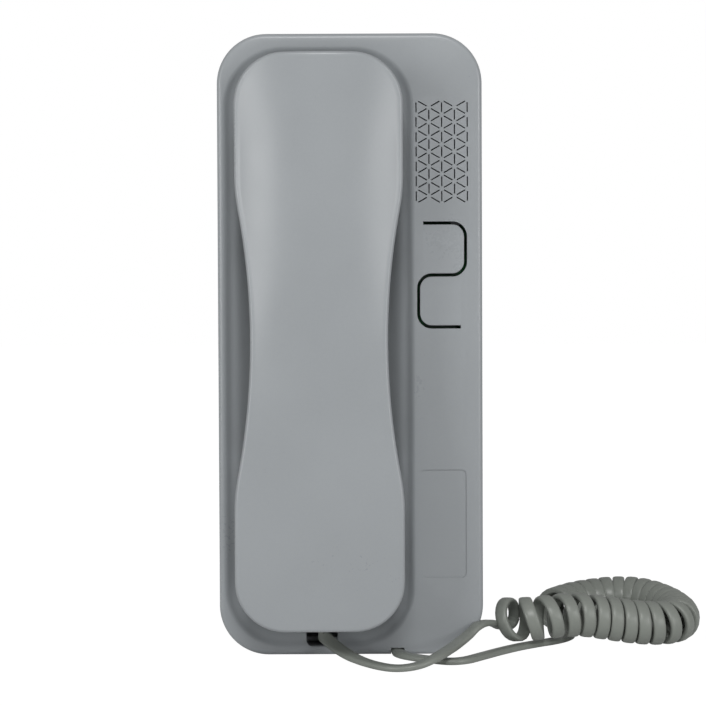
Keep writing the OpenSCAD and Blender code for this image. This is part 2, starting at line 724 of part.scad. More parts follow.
module at_speaker() { translate([speaker_x, grille_y, 0]) children(); }
module oval(w, l, z0, z1) { translate([0, 0, z0]) linear_extrude(z1 - z0) stadium(w, l); }
module speaker_frame() {
    color(dark_plastic) stand() at_speaker() difference() {
        oval(speaker_w, speaker_l, speaker_top - speaker_depth, speaker_top);
        oval(speaker_w - 2 * speaker_rim, speaker_l - 2 * speaker_rim,
            speaker_top - speaker_depth + speaker_floor, speaker_top + past);
        round_bar(magnet_d - 3, speaker_top - speaker_depth - past, speaker_top);
    }
}
module speaker_cone() {
    color(rubber) stand() at_speaker() {
        cone_in = 2 * (speaker_rim + fit_gap);
        oval(speaker_w - cone_in, speaker_l - cone_in,
            speaker_top - cone_sink - cone_t, speaker_top - cone_sink);
        translate([0, 0, speaker_top - cone_sink]) rotate_extrude($fn = round_fn)
            polygon([[0, 0], [4, 0], [3.4, 0.5], [1.8, 0.9], [0, 1]]);
    }
}
module speaker_magnet() {
    color(steel) stand() at_speaker()
        round_bar(magnet_d, speaker_top - speaker_depth - magnet_h, speaker_top - speaker_depth);
}
module speaker_gasket() {
    color(rubber) stand() at_speaker() difference() {
        oval(speaker_w, speaker_l, speaker_top, panel_under);
        oval(speaker_w - 2 * gasket_rim, speaker_l - 2 * gasket_rim, speaker_top - past, panel_under + past);
    }
}

module base_cord_gland() {
    color(rubber) stand() translate([gland_x, -base_h / 2 + gland_h / 2, 0])
        gland_frame(gland_w - 2 * fit_gap, gland_h - 2 * fit_gap, gland_z0, gland_z1);
}

// Handset forms, drawn in by i on every side
module handset_outline(i) {
    translate([handset_x, handset_y]) difference() {
        rounded_rect(handset_w - 2 * i, handset_l - 2 * i, handset_corner_r - i);
        for (s = [-1, 1]) translate([s * (waist_w / 2 + waist_r), 0])
            circle(waist_r + i, $fn = 4 * round_fn);
    }
}
module along_width(w) {
    translate([handset_x - w / 2, 0, 0]) rotate([90, 0, 90]) linear_extrude(w) children();
}
module outer_form(i, z0) {
    intersection() {
        translate([0, 0, z0]) linear_extrude(handset_t) handset_outline(i);
        translate([handset_x, handset_y + handset_l / 2, handset_top - crown_r]) rotate([90, 0, 0])
            cylinder(r = crown_r - i, h = handset_l, $fn = 4 * round_fn);
        along_width(handset_w) translate([handset_y, (z0 + handset_top) / 2 - handset_t / 2])
            end_profile(handset_l - 2 * i, handset_top - i);
    }
}
module end_profile(l, top) {
    lift = handset_split / 2 + handset_top / 2 - handset_t / 2;
    far = l / 2 - end_round;
    up = top - lift - end_round;
    polygon(concat([[-l / 2, 0], [l / 2, 0]],
        [for (a = [0:15:90]) [far + end_round * cos(a), up + end_round * sin(a)]],
        [for (a = [90:15:180]) [-far + end_round * cos(a), up + end_round * sin(a)]]));
}

module handset_outer_shell() {
    color(plastic) stand() difference() {
        union() {
            difference() {
                outer_form(0, handset_split);
                outer_form(shell_wall, handset_split - past);
            }
            intersection() {
                outer_form(shell_wall / 2, handset_split);
                for (y = handset_screw_ys) translate([handset_x, y, 0])
                    round_bar(boss_d - 1, handset_split, handset_top);
            }
        }
        for (y = handset_screw_ys) translate([handset_x, y, 0])
            round_bar(board_screw_d + 4 * fit_gap, handset_split - past, handset_hole_end);
    }
}

// The inner shell's side view and end view, drawn in by i
function chamfer_at(z, i) = chamfer_in * (chamfer_top - z) / (chamfer_top - handset_under) + i;
module inner_side_view(i) {
    low = handset_under + i;
    lean = i * sqrt(1 + pow(arch_run / (grip_under - handset_under), 2));
    foot = arch_half + arch_run * (grip_under - low) / (grip_under - handset_under) + lean;
    brow = arch_half - arch_run * i / (grip_under - handset_under) + lean;
    end = handset_l / 2 - i;
    half = [[brow, grip_under + i], [foot, low], [end - chamfer_at(low, 0), low], [end, chamfer_top],
        [end, handset_split + i]];
    other = [for (k = [4:-1:0]) [-half[k][0], half[k][1]]];
    translate([handset_y, 0]) {
        if (i == 0) polygon(concat(half, other));
        else {
            polygon(concat(half, [[brow, handset_split + i]]));
            polygon(concat(other, [[-brow, handset_split + i]]));
        }
    }
}
module inner_end_view(i) {
    half = handset_w / 2;
    low = handset_under + i;
    polygon([for (s = [-1, 1]) each s < 0
        ? [[-half + i, handset_split + past], [-half + i, chamfer_top], [-half + chamfer_at(low, i), low]]
        : [[half - chamfer_at(low, i), low], [half - i, chamfer_top], [half - i, handset_split + past]]]);
}
module inner_form(i) {
    intersection() {
        translate([0, 0, handset_under]) linear_extrude(handset_split - handset_under + i) handset_outline(i);
        along_width(handset_w) inner_side_view(i);
        translate([handset_x, handset_y + handset_l / 2, 0]) rotate([90, 0, 0])
            linear_extrude(handset_l) inner_end_view(i);
    }
}
module boot_shape(g, y0, y1) {
    translate([handset_x, y1, boot_z]) rotate([90, 0, 0]) linear_extrude(y1 - y0)
        rotate(90) stadium(boot_h + 2 * g, boot_w + 2 * g);
}

module handset_inner_shell() {
    color(plastic) stand() difference() {
        inner_form(0);
        inner_form(shell_wall);
        translate([handset_x, ear_y, 0]) {
            round_bar(ear_d + 4, handset_under - past, handset_under + ear_dish);
            for (a = [0:60:300]) rotate(a) translate([ear_hole_ring, 0, 0])
                round_bar(ear_hole_d, handset_under - past, inner_face + past);
            round_bar(ear_hole_d, handset_under - past, inner_face + past);
        }
        for (s = [-1:1]) translate([handset_x + s * mic_hole_step, mouth_y, 0])
            round_bar(mic_hole_d, handset_under - past, inner_face + past);
        translate([handset_x, peg_y, handset_under - past])
            linear_extrude(shell_wall + 2 * past) stadium(peg_d + 1, peg_d + 2.4);
        for (y = handset_screw_ys) translate([handset_x, y, 0]) {
            round_bar(board_screw_d + 4 * fit_gap, grip_under - past, handset_split + past);
            round_bar(board_screw_head_d + 4 * fit_gap, grip_under - past, grip_under + handset_screw_sink);
        }
        boot_shape(fit_gap, mouth_end - past, mouth_end + boot_in - boot_flange_t);
    }
}

module handset_screws() {
    color(steel) stand() for (y = handset_screw_ys)
        translate([handset_x, y, grip_under + handset_screw_sink]) rotate([180, 0, 0])
            screw(board_screw_head_d, handset_screw_head_h, board_screw_d, handset_screw_l);
}

module earpiece_gasket() {
    color(rubber) stand() translate([handset_x, ear_y, 0]) difference() {
        round_bar(ear_d - 1, inner_face, capsule_z0);
        round_bar(ear_d - 1 - 2 * gasket_ring_w, inner_face - past, capsule_z0 + past);
    }
}
module earpiece_capsule() {
    edge = ear_d / 2;
    neck = ear_d / 3;
    color(dark_plastic) stand() translate([handset_x, ear_y, capsule_z0]) rotate_extrude($fn = round_fn)
        polygon([[0, ear_dish], [4, ear_dish], [edge - 5, 0], [edge, 0], [edge, ear_rim_h],
            [neck, ear_rim_h + 1], [neck, ear_capsule_h], [0, ear_capsule_h]]);
}
module microphone_boot() {
    color(rubber) stand() translate([handset_x, mouth_y, inner_face]) difference() {
        round_bar(mic_boot_d, 0, mic_boot_h);
        round_bar(mic_d + 2 * fit_gap, mic_floor, mic_boot_h + past);
        round_bar(2 * mic_hole_d, -past, mic_floor + past);
    }
}
module microphone_capsule() {
    color(steel) stand() translate([handset_x, mouth_y, inner_face])
        round_bar(mic_d, mic_floor, mic_floor + mic_h);
}
module handset_cord_boot() {
    color(rubber) stand() {
        boot_shape(0, mouth_end - boot_out, mouth_end + boot_in);
        boot_shape(boot_flange, mouth_end + boot_in - boot_flange_t, mouth_end + boot_in);
    }
}

module handset_lead() {
    color(cord_grey) stand()
        flat_cord(concat(handset_lead_points, [curl_line[0]]), [1, 0, 0], curl_spots[0][1]);
}
module curly_cord() { color(cord_grey) stand() tube(curl_ring_list, curl_sides); }
module base_lead() {
    color(cord_grey) stand()
        flat_cord(concat(base_lead_points, [curl_line[ring_count]]), [0, 1, 0], -curl_spots[ring_count][1]);
}

rear_housing();
front_cover();
cover_screws();
circuit_board();
board_screws();
terminal_block();
terminal_screws();
door_switch();
aux_switch();
door_button();
aux_button();
hook_switch();
hook_plunger();
speaker_frame();
speaker_cone();
speaker_magnet();
speaker_gasket();
base_cord_gland();
handset_outer_shell();
handset_inner_shell();
handset_screws();
earpiece_capsule();
earpiece_gasket();
microphone_capsule();
microphone_boot();
handset_cord_boot();
handset_lead();
curly_cord();
base_lead();
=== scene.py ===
import bpy, json, math
import numpy as np
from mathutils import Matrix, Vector


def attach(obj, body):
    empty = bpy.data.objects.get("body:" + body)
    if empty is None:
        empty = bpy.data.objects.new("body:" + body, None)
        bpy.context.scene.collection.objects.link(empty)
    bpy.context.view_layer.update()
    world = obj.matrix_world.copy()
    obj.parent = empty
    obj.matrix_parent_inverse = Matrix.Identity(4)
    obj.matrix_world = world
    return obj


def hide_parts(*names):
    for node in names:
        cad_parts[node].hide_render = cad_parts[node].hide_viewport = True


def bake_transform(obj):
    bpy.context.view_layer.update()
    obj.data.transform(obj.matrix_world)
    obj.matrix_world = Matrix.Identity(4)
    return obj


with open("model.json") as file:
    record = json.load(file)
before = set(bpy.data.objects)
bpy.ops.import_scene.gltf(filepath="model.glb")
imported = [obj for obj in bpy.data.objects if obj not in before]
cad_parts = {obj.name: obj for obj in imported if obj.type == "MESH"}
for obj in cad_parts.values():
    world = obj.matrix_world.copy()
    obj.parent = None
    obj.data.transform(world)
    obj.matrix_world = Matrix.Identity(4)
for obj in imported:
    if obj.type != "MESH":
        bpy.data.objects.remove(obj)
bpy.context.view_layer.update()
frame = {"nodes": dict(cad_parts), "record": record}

# View and light.
# The unit stands on a white table and is seen straight from the front, from half a metre away.
# A soft lamp hangs in front, above the view; two smaller ones at the sides shine on the handset's flanks.
scene = bpy.context.scene
scene.view_settings.view_transform = "Standard"
focal_px, picture_px, table_y = 1638.3, 706, -94.0


def w(p):
    """A point of the flat drawing (x right, y up, z out of the wall, mm) in the room, in metres."""
    return Vector((p[0] / 1000, -p[2] / 1000, p[1] / 1000))


camera_data = bpy.data.cameras.new("camera")
camera_data.sensor_width = 36
camera_data.lens = camera_data.sensor_width * focal_px / picture_px
camera_data.clip_start = 0.01
camera = bpy.data.objects.new("camera", camera_data)
scene.collection.objects.link(camera)
camera.location = (0.001, -0.517, 0.0076)
aim = Vector((0.0008, -0.017, -0.0025)) - camera.location
camera.rotation_euler = aim.to_track_quat("-Z", "Y").to_euler()
camera.rotation_euler.rotate_axis("Z", math.radians(-0.25))
scene.camera = camera


def lamp(name, place, target, size, power):
    data = bpy.data.lights.new(name, "AREA")
    data.shape = "RECTANGLE"
    data.size, data.size_y = size
    data.energy = power
    lamp_object = bpy.data.objects.new(name, data)
    scene.collection.objects.link(lamp_object)
    lamp_object.location = place
    lamp_object.rotation_euler = (Vector(target) - Vector(place)).to_track_quat("-Z", "Y").to_euler()


lamp("lamp_front", (0, -1.15, 0.82), (0, 0, -0.02), (0.4, 0.36), 7.3)
lamp("lamp_left", (-0.72, -0.75, 0.17), (0, -0.04, 0.04), (0.34, 0.36), 2.6)
lamp("lamp_right", (0.74, -0.73, 0.17), (0, -0.04, 0.04), (0.3, 0.36), 2.3)

world = bpy.data.worlds.new("room")
scene.world = world
world.use_nodes = True


class Field:
    """One output of a shader node; sums and products of fields make the nodes they need."""

    def __init__(self, tree, socket):
        self.tree, self.socket = tree, socket

    def node(self, kind, settings=None, out=0, **sockets):
        made = self.tree.nodes.new("ShaderNode" + kind)
        for key, value in (settings or {}).items():
            setattr(made, key, value)
        for key, value in sockets.items():
            place = made.inputs[int(key[1:])] if key[0] == "i" and key[1:].isdigit() else made.inputs[key.replace("_", " ")]
            if isinstance(value, Field):
                self.tree.links.new(value.socket, place)
            else:
                place.default_value = value
        return Field(self.tree, made.outputs[out] if made.outputs else None)

    def maths(self, operation, a, b=0.0):
        return self.node("Math", {"operation": operation}, i0=a, i1=b)

    def __add__(self, other): return self.maths("ADD", self, other)
    def __sub__(self, other): return self.maths("SUBTRACT", self, other)
    def __mul__(self, other): return self.maths("MULTIPLY", self, other)
    def __truediv__(self, other): return self.maths("DIVIDE", self, other)
    def __rsub__(self, other): return self.maths("SUBTRACT", other, self)
    __radd__, __rmul__ = __add__, __mul__

    def ramp(self, low, high):
        return self.node("MapRange", {"clamp": True}, i0=self, i1=low, i2=high)


def blank(tree):
    tree.nodes.clear()
    return Field(tree, None)


f = blank(world.node_tree)
seen = f.node("LightPath")
room = f.node("Background", Color=(1, 1, 1, 1), Strength=seen * 0.69 + 0.31)
f.node("OutputWorld", Surface=room)


def linear(rgb):
    return tuple((c / 255 / 12.92 if c <= 10 else ((c / 255 + 0.055) / 1.055) ** 2.4) for c in rgb) + (1.0,)


floor_mesh = bpy.data.meshes.new("table")
floor_mesh.from_pydata([(x, y, table_y / 1000) for x, y in ((-6, -3), (6, -3), (6, 6), (-6, 6))], [], [(0, 1, 2, 3)])
floor = bpy.data.objects.new("table", floor_mesh)
scene.collection.objects.link(floor)
floor_material = bpy.data.materials.new("table_white")
floor_material.use_nodes = True
f = blank(floor_material.node_tree)
grain = f.node("TexNoise", i2=900.0)
white = f.node("Mix", {"data_type": "RGBA"}, out=2, i0=grain, i6=(0.8, 0.8, 0.8, 1), i7=(0.84, 0.84, 0.84, 1))
matt = f.node("BsdfDiffuse", Color=white)
glow = f.node("Emission", Color=(1, 1, 1, 1), Strength=1.1)
seen = f.node("LightPath")
f.node("OutputMaterial", Surface=f.node("MixShader", i0=seen * 0.9, i1=matt, i2=glow))
floor_mesh.materials.append(floor_material)


# Rear housing and the works on it.
# The back half of the base is moulded in the same grey plastic as the cover; the circuit board,
# switches, terminal block and call speaker inside it keep the shapes of the solids.
def surface(name, rgb, rough, grain_size, grain_depth, vary=0.05, metal=0.0, coat=0.0, edge=0.05, streak=None):
    """A moulded, drawn or rolled surface: two scales of colour change, fine grain, and convex edges painted lighter as
    a painted highlight.
    """
    made = bpy.data.materials.new(name)
    made.use_nodes = True
    f = blank(made.node_tree)
    place = f.node("TexCoord", out=3)
    if streak:
        place = f.node("Mapping", Vector=place, Scale=streak)
    cloud = f.node("TexNoise", Vector=place, Scale=35.0, Detail=3.0)
    fleck = f.node("TexNoise", Vector=place, Scale=1200.0, Detail=2.0)
    grain = f.node("TexNoise", Vector=place, Scale=1.0 / grain_size, Detail=4.0, Roughness=0.65)
    # Convex edges, found by pointiness: their colour is painted lighter below as a painted highlight, and they are made
    # a little less rough.
    edge_highlight_mask = f.node("NewGeometry", out=7).ramp(0.52, 0.62)
    base = linear(rgb)
    dark = tuple(c * (1 - vary) for c in base[:3]) + (1.0,)
    light = tuple(min(1.0, c * (1 + vary)) for c in base[:3]) + (1.0,)
    tone = (cloud * 0.7 + fleck * 0.3).ramp(0.3, 0.7)
    mixed = f.node("Mix", {"data_type": "RGBA"}, out=2, i0=tone, i6=dark, i7=light)
    # The painted edge highlight: the base colour made lighter. It is mixed in on convex edges, scaled by edge.
    edge_highlight_colour = tuple(min(1, c * 1.35) for c in base[:3]) + (1.0,)
    mixed = f.node("Mix", {"data_type": "RGBA"}, out=2, i0=edge_highlight_mask * edge * 4, i6=mixed, i7=edge_highlight_colour)
    bump = f.node("Bump", Strength=0.6, Distance=grain_depth, Height=grain)
    shade = f.node("BsdfPrincipled", Base_Color=mixed, Roughness=(rough - 0.06) + tone * 0.12 - edge_highlight_mask * 0.05,
                   Metallic=metal, Normal=bump, Coat_Weight=coat)
    f.node("OutputMaterial", Surface=shade)
    return made


grey = surface("grey_plastic", (148, 152, 155), 0.33, 0.0006, 0.000008, vary=0.03)
looks = {
    "grey_plastic": grey,
    "dark_plastic": surface("dark_plastic", (58, 60, 62), 0.45, 0.0004, 0.00002),
    "screw_steel": surface("screw_steel", (176, 178, 182), 0.32, 0.0002, 0.00001, metal=1.0, streak=(1, 1, 14)),
    "board_laminate": surface("board_laminate", (38, 110, 62), 0.35, 0.0008, 0.00001, vary=0.15, coat=0.4),
    "cone_paper": surface("cone_paper", (34, 34, 36), 0.85, 0.0005, 0.00005, vary=0.2),
    "black_rubber": surface("black_rubber", (38, 38, 39), 0.7, 0.0004, 0.00002, vary=0.12),
    "cord_rubber": surface("cord_rubber", (126, 130, 124), 0.36, 0.0005, 0.00002, vary=0.06),
}
for part in frame["record"]["subparts"]:
    node = frame["nodes"][part["node"]]
    node.data.materials.clear()
    node.data.materials.append(looks[part["material_slot"]])

# Front cover.
# One moulding: a rounded panel with a sloping cradle for the handset, a net of slits in front of
# the call speaker, an S-shaped slit that frees the two buttons, and a sunk plate left bare. A peg
# and four pads on the cradle's floor carry the handset.
base_w, base_h, base_r, base_depth, rear_depth, wall = 80.0, 188.0, 15.0, 22.0, 8.0, 2.0
cradle = dict(x0=-38.3, x1=19.4, y0=-92.0, y1=90.0, r=18.0, floor=16.0, slope=9.0)
strip_x, grille_y = 27.8, 58.2


def rounded(cx, cy, wide, high, r, arc=20):
    """Points round a rectangle with round corners, always the same number and in the same order."""
    out = []
    for k, (sx, sy) in enumerate(((1, 1), (-1, 1), (-1, -1), (1, -1))):
        for a in np.linspace(0, math.pi / 2, arc + 1):
            t = a + k * math.pi / 2
            out.append((cx + sx * (wide / 2 - r) + r * math.cos(t), cy + sy * (high / 2 - r) + r * math.sin(t)))
    return np.array(out)


def skin(rings, closed_ends=True):
    """Faces between rings of equal length; the first and last are filled."""
    n = len(rings[0])
    points = np.concatenate(rings)
    faces = [(i * n + k, i * n + (k + 1) % n, (i + 1) * n + (k + 1) % n, (i + 1) * n + k)
             for i in range(len(rings) - 1) for k in range(n)]
    if closed_ends:
        faces += [tuple(range(n))[::-1], tuple((len(rings) - 1) * n + k for k in range(n))]
    return points, faces


def solid(name, points, faces, material, sharp=32):
    mesh = bpy.data.meshes.new(name)
    mesh.from_pydata([w(p) for p in points], [], faces)
    mesh.validate()
    mesh.update()
    made = bpy.data.objects.new(name, mesh)
    scene.collection.objects.link(made)
    mesh.materials.append(material)
    smooth_by_angle(mesh, sharp)
    return made


def smooth_by_angle(mesh, sharp):
    mesh.shade_smooth()
    mesh.set_sharp_from_angle(angle=math.radians(sharp))


def ring_at(points, z):
    return np.column_stack([points, np.full(len(points), z)])


def cradle_ring(grow, z):
    wide, high = cradle["x1"] - cradle["x0"], cradle["y1"] - cradle["y0"]
    return ring_at(rounded((cradle["x0"] + cradle["x1"]) / 2, (cradle["y0"] + cradle["y1"]) / 2,
                           wide + 2 * grow, high + 2 * grow, max(1.0, cradle["r"] + grow)), z)


def base_ring(grow, z):
    return ring_at(rounded(0, 0, base_w + 2 * grow, base_h + 2 * grow, base_r + grow), z)


slope, floor_z, edge = cradle["slope"], cradle["floor"], 1.5
trough = ((10.2, 16.0), (9.4, 16.06), (8.6, 16.3), (7.6, 16.9), (6.8, 17.5), (6.0, 18.15), (5.2, 18.8), (4.5, 19.3), (3.8, 19.7),
          (3.1, 20.0), (2.4, 20.3), (1.8, 20.7), (1.3, 21.15), (0.8, 21.6), (0.3, 21.9), (-0.15, 22.0))
rings = [cradle_ring(-slope - 6, floor_z)] + [cradle_ring(-t, z) for t, z in trough]
rings += [base_ring(-edge + edge * math.sin(a), base_depth - edge + edge * math.cos(a)) for a in np.linspace(0, math.pi / 2, 8)]
rings += [base_ring(0, rear_depth + 0.25), base_ring(-0.25, rear_depth)]
rings += [base_ring(-1.6, rear_depth), base_ring(-1.6, base_depth - wall)]
rings += [cradle_ring(-0.3, base_depth - wall - 0.5), cradle_ring(-slope, floor_z - wall)]
cover = solid("cover_moulding", *skin(rings), grey)


def prism(outline, z0, z1):
    return skin([ring_at(np.array(outline), z0), ring_at(np.array(outline), z1)])


def joined(name, parts):
    points, faces, count = [], [], 0
    for p, q in parts:
        points.append(p)
        faces += [tuple(i + count for i in face) for face in q]
        count += len(p)
    return solid(name, np.concatenate(points), faces, grey)


def cut(target, tool):
    made = target.modifiers.new("cut", "BOOLEAN")
    made.operation = "DIFFERENCE"
    made.solver = "EXACT"
    made.use_self = True
    made.object = tool
    result = bpy.data.meshes.new_from_object(target.evaluated_get(bpy.context.evaluated_depsgraph_get()))
    target.modifiers.clear()
    target.data = result
    bpy.data.objects.remove(tool)


under, over = 19, 23
pitch, slit_w, slit_end = 4.45, 0.36, 0.75
step = pitch * math.sqrt(3) / 2


def knot(c, k):
    """Where the grille's slits would meet: column c from the left, row k from below."""
    return strip_x + (c - 2) * step, grille_y + (k - 3.5 + (c % 2) / 2) * pitch


def slit_box(a, b):
    """Cutter for one slit between two knots, short of both."""
    a, b = np.array(a), np.array(b)
    d = (b - a) / np.linalg.norm(b - a)
    s = np.array([-d[1], d[0]]) * slit_w / 2
    a, b = a + d * slit_end, b - d * slit_end
    return prism([a - s, b - s, b + s, a + s], under, over)


slits = [slit_box(knot(c, k), knot(c, k + 1)) for c in range(5) for k in range(7 - c % 2)]
slits += [slit_box(knot(c, k), knot(c + s, k + up))
          for c in (1, 3) for k in range(7) for s in (-1, 1) for up in (0, 1)]
cut(cover, joined("grille_cutter", slits))

button_w, button_h, button_slit, button_r, button_root = 14.2, 15.7, 0.95, 4.0, 1.45
door_y = 28.9
aux_y = door_y - button_h
door_root, aux_root = strip_x - button_w / 2 + button_root, strip_x + button_w / 2 - button_root


def tongue(root, free, y, grow):
    """Outline of a tongue from its root to its rounded free end; free is 1 to the right, -1 to the left."""
    r, h, reach = button_r + grow, button_h / 2 + grow, button_w - button_root + grow
    out = [(0, -h)] + [(reach - r + r * math.sin(a), -h + r - r * math.cos(a)) for a in np.linspace(0, math.pi / 2, 13)]
    out += [(reach - r + r * math.cos(a), h - r + r * math.sin(a)) for a in np.linspace(0, math.pi / 2, 13)] + [(0, h)]
    out = [(root + free * x, y + v) for x, v in out]
    return out if free > 0 else out[::-1]


for root, free, y in ((door_root, 1, door_y), (aux_root, -1, aux_y)):
    cut(cover, solid("button_cutter", *prism(tongue(root, free, y, button_slit / 2), under, over), grey))
hand_x, hand_y = -9.0, 1.1
cut(cover, solid("plate_cutter", *prism(rounded(strip_x + 0.25, -54.2, 13.9, 32.7, 1.5, 6), 21.7, over), grey))
cut(cover, solid("pocket_cutter", *prism(rounded(hand_x, -87.03, 9.5, 8.76, 1.8, 6), 14.2, over), grey))
cut(cover, solid("gland_cutter", *prism([(10.8, -95), (17.2, -95), (17.2, -91.4), (10.8, -91.4)], 7, 16), grey))
cut(cover, solid("groove_cutter", *prism([(12, -95), (16, -95), (16, -91.9), (12, -91.9)], 15, over), grey))
screw_reach, screw_well, plunger_hole = 22, 6, 6.6
for y in (hand_y + screw_reach, hand_y - screw_reach):
    well = rounded(hand_x, y, screw_well, screw_well, screw_well / 2 - 0.01, 6)
    cut(cover, solid("screw_cutter", *prism(well, 14.8, over), grey))
hole = rounded(6, -45.5, plunger_hole, plunger_hole, plunger_hole / 2 - 0.01, 6)
cut(cover, solid("plunger_cutter", *prism(hole, 13, over), grey))


def open_root(made, root):
    """Leaves out the walls at a tongue's root, where tongue and cover are one skin."""
    mesh = made.data
    keep = [f.vertices[:] for f in mesh.polygons
            if not (abs(f.center.x - root / 1000) < 2e-5 and abs(f.normal.x) > 0.9 and f.center.z > 0)]
    points = [v.co.copy() for v in mesh.vertices]
    mesh.clear_geometry()
    mesh.from_pydata(points, [], keep)


for root in (door_root, aux_root):
    open_root(cover, root)
smooth_by_angle(cover.data, 32)
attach(cover, "base")
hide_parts("front_cover")


def stud(x, y, wide, top):
    """A round stud on the cradle's floor with a broken edge."""
    steps = ((wide + 0.8, floor_z - 0.1), (wide, floor_z + 0.3), (wide, top - 0.4), (wide - 0.25, top - 0.12), (wide - 0.8, top))
    return skin([ring_at(rounded(x, y, d, d, d / 2 - 0.01, 6), z) for d, z in steps])


peg = dict(y=43.5, wide=5, top=22)
pad = dict(wide=6, top=17.7)
pad_x, pad_y = 14, 61
studs = [stud(hand_x, **peg)] + [stud(hand_x + a, hand_y + b, **pad) for a in (-pad_x, pad_x) for b in (-pad_y, pad_y)]
rests = joined("cradle_rests", studs)
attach(rests, "base")

# Buttons.
# Two tongues of the cover, cut free on three sides by the S-shaped slit, which bend at their roots when pressed;
# the upper one opens the door. Here each is one fixed skin at rest, with a post below it.
half_slit = button_slit / 2
stations = list(np.linspace(0, 3, 13)) + [4.5, 6.5, 8.5]
free_r = button_r - half_slit
free_x = button_w - button_root - half_slit - free_r
stations += [free_x + free_r * math.sin(a) for a in np.linspace(0, math.pi / 2, 15)]
fill_x, fill_r = button_r - button_root, button_r + half_slit


def tongue_rings(root, free, y):
    """Cross-sections of a tongue from its root to its rounded free end."""
    out = []
    for x in stations:
        high = button_h / 2 - half_slit
        if x > free_x:
            high += math.sqrt(max(0.0, free_r ** 2 - (x - free_x) ** 2)) - free_r
        low = -high
        if x < fill_x:
            low = -button_h / 2 - button_r + math.sqrt(fill_r ** 2 - (fill_x - x) ** 2)
        out.append(np.array([(root + free * x, y + free * v, z) for v, z in
                             ((low, 20.0), (low, 21.85), (low + 0.15, 22.0), (high - 0.15, 22.0), (high, 21.85), (high, 20.0))]))
    return out


def raised(outline, hole=None):
    """A flat mark that stands a hair above the panel; hole is an inner outline of as many points."""
    low, high = (ring_at(np.array(outline), z) for z in (21.9, 22.06))
    if hole is None:
        return skin([low, high])
    inner_high, inner_low = (ring_at(np.array(hole), z) for z in (22.06, 21.9))
    return skin([low, high, inner_high, inner_low], closed_ends=False)


def bar(x0, y0, x1, y1):
    return raised([(x0, y0), (x1, y0), (x1, y1), (x0, y1)])


mark_x, mark_y = strip_x - 0.2, door_y + 0.8
key = [raised(rounded(mark_x - 1, mark_y, 2.6, 2.6, 1.29, 5), rounded(mark_x - 1, mark_y, 1.7, 1.7, 0.84, 5)),
       bar(mark_x + 0.25, mark_y - 0.22, mark_x + 2.9, mark_y + 0.22),
       bar(mark_x + 1.7, mark_y - 0.95, mark_x + 2.1, mark_y - 0.2),
       bar(mark_x + 2.5, mark_y - 0.95, mark_x + 2.9, mark_y - 0.2)]

for name, node, body, root, free, y in (("door_tongue_skin", "door_button", "door_tongue", door_root, 1, door_y),
                                        ("aux_tongue_skin", "aux_button", "aux_tongue", aux_root, -1, aux_y)):
    points, faces = skin(tongue_rings(root, free, y), closed_ends=False)
    last = len(points) - 6
    faces.append(tuple(last + k for k in range(6)))
    post = prism(rounded(root + free * 9, y, 3.2, 3.2, 1.59, 4), 18.3, 20.1)
    for more_points, more_faces in [post] + (key if node == "door_button" else []):
        faces += [tuple(i + len(points) for i in face) for face in more_faces]
        points = np.vstack([points, more_points])
    button = solid(name, points, faces, grey)
    w((root, y, 21))
    w((root + free * 3, y, 21))
    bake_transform(button)
    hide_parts(node)

# Handset.
# Two grey mouldings that meet on a line round the side; the outer one is crowned across the
# earpiece end and the grip, and runs out nearly flat over the mouthpiece.
hand_l, head_w, waist_w, waist_r, hand_r = 167.5, 49.2, 40.0, 206.0, 14.5
hand_split, hand_top = 27.0, 46.0


def half_width(y):
    """Half the handset's width at a height y from its middle, with a soft run from the grip to the heads."""
    hollow = waist_w / 2 + waist_r - np.sqrt(np.maximum(1.0, waist_r ** 2 - y * y))
    k = 1.1
    h = np.clip(0.5 + 0.5 * (head_w / 2 - hollow) / k, 0, 1)
    return hollow * h + head_w / 2 * (1 - h) - k * h * (1 - h)


def handset_outline():
    straight = hand_l / 2 - hand_r
    side = [(half_width(y), y) for y in np.linspace(-straight, straight, 73)]
    arc = [(head_w / 2 - hand_r + hand_r * math.cos(a), straight + hand_r * math.sin(a))
           for a in np.linspace(0, math.pi / 2, 17)][1:]
    top = [(x, hand_l / 2) for x in np.linspace(head_w / 2 - hand_r, 0, 6)][1:]
    quarter = side + arc + top
    right = [(x, -y) for x, y in (arc + top)[::-1]] + quarter
    left = [(-x, y) for x, y in right[::-1]][1:-1]
    return np.array(right + left)


outline = handset_outline()
ahead = np.roll(outline, -1, 0) - np.roll(outline, 1, 0)
inward = np.column_stack([-ahead[:, 1], ahead[:, 0]]) / np.linalg.norm(ahead, axis=1)[:, None]
spine = np.column_stack([np.zeros(len(outline)), np.clip(outline[:, 1], -hand_l / 2 + 20, hand_l / 2 - 20)])


def soft(t):
    t = np.clip(t, 0, 1)
    return t * t * (3 - 2 * t)


def crown(p):
    """Height of the outer face: a hollow-sided crown that fades out over the mouthpiece."""
    drop = 0.2 + 6.4 * soft((p[:, 1] + 60) / 100) * (1 - 0.3 * soft((p[:, 1] - 50) / 34))
    return hand_top - drop * (np.abs(p[:, 0]) / 24.6) ** 2


def hand_ring(p, z):
    return np.column_stack([p[:, 0] + hand_x, p[:, 1] + hand_y, z])


fillet = 1.1
rings = [hand_ring(outline + inward * 0.35, np.full(len(outline), hand_split)),
         hand_ring(outline, np.full(len(outline), hand_split + 0.35))]
for a in np.linspace(0, math.pi / 2, 10):
    p = outline + inward * fillet * (1 - math.cos(a))
    rings.append(hand_ring(p, crown(outline + inward * fillet) - fillet + fillet * math.sin(a)))
edge_points = outline + inward * fillet
for s in np.linspace(0, 1, 26)[1:-1]:
    p = edge_points * (1 - s) + spine * s
    rings.append(hand_ring(p, crown(p)))
points, faces = skin(rings, closed_ends=False)
last = (len(rings) - 1) * len(outline)
faces.append(tuple(last + k for k in range(len(outline))))
shell = solid("handset_outer", points, faces, grey, sharp=50)
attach(shell, "handset")
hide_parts("handset_outer_shell")

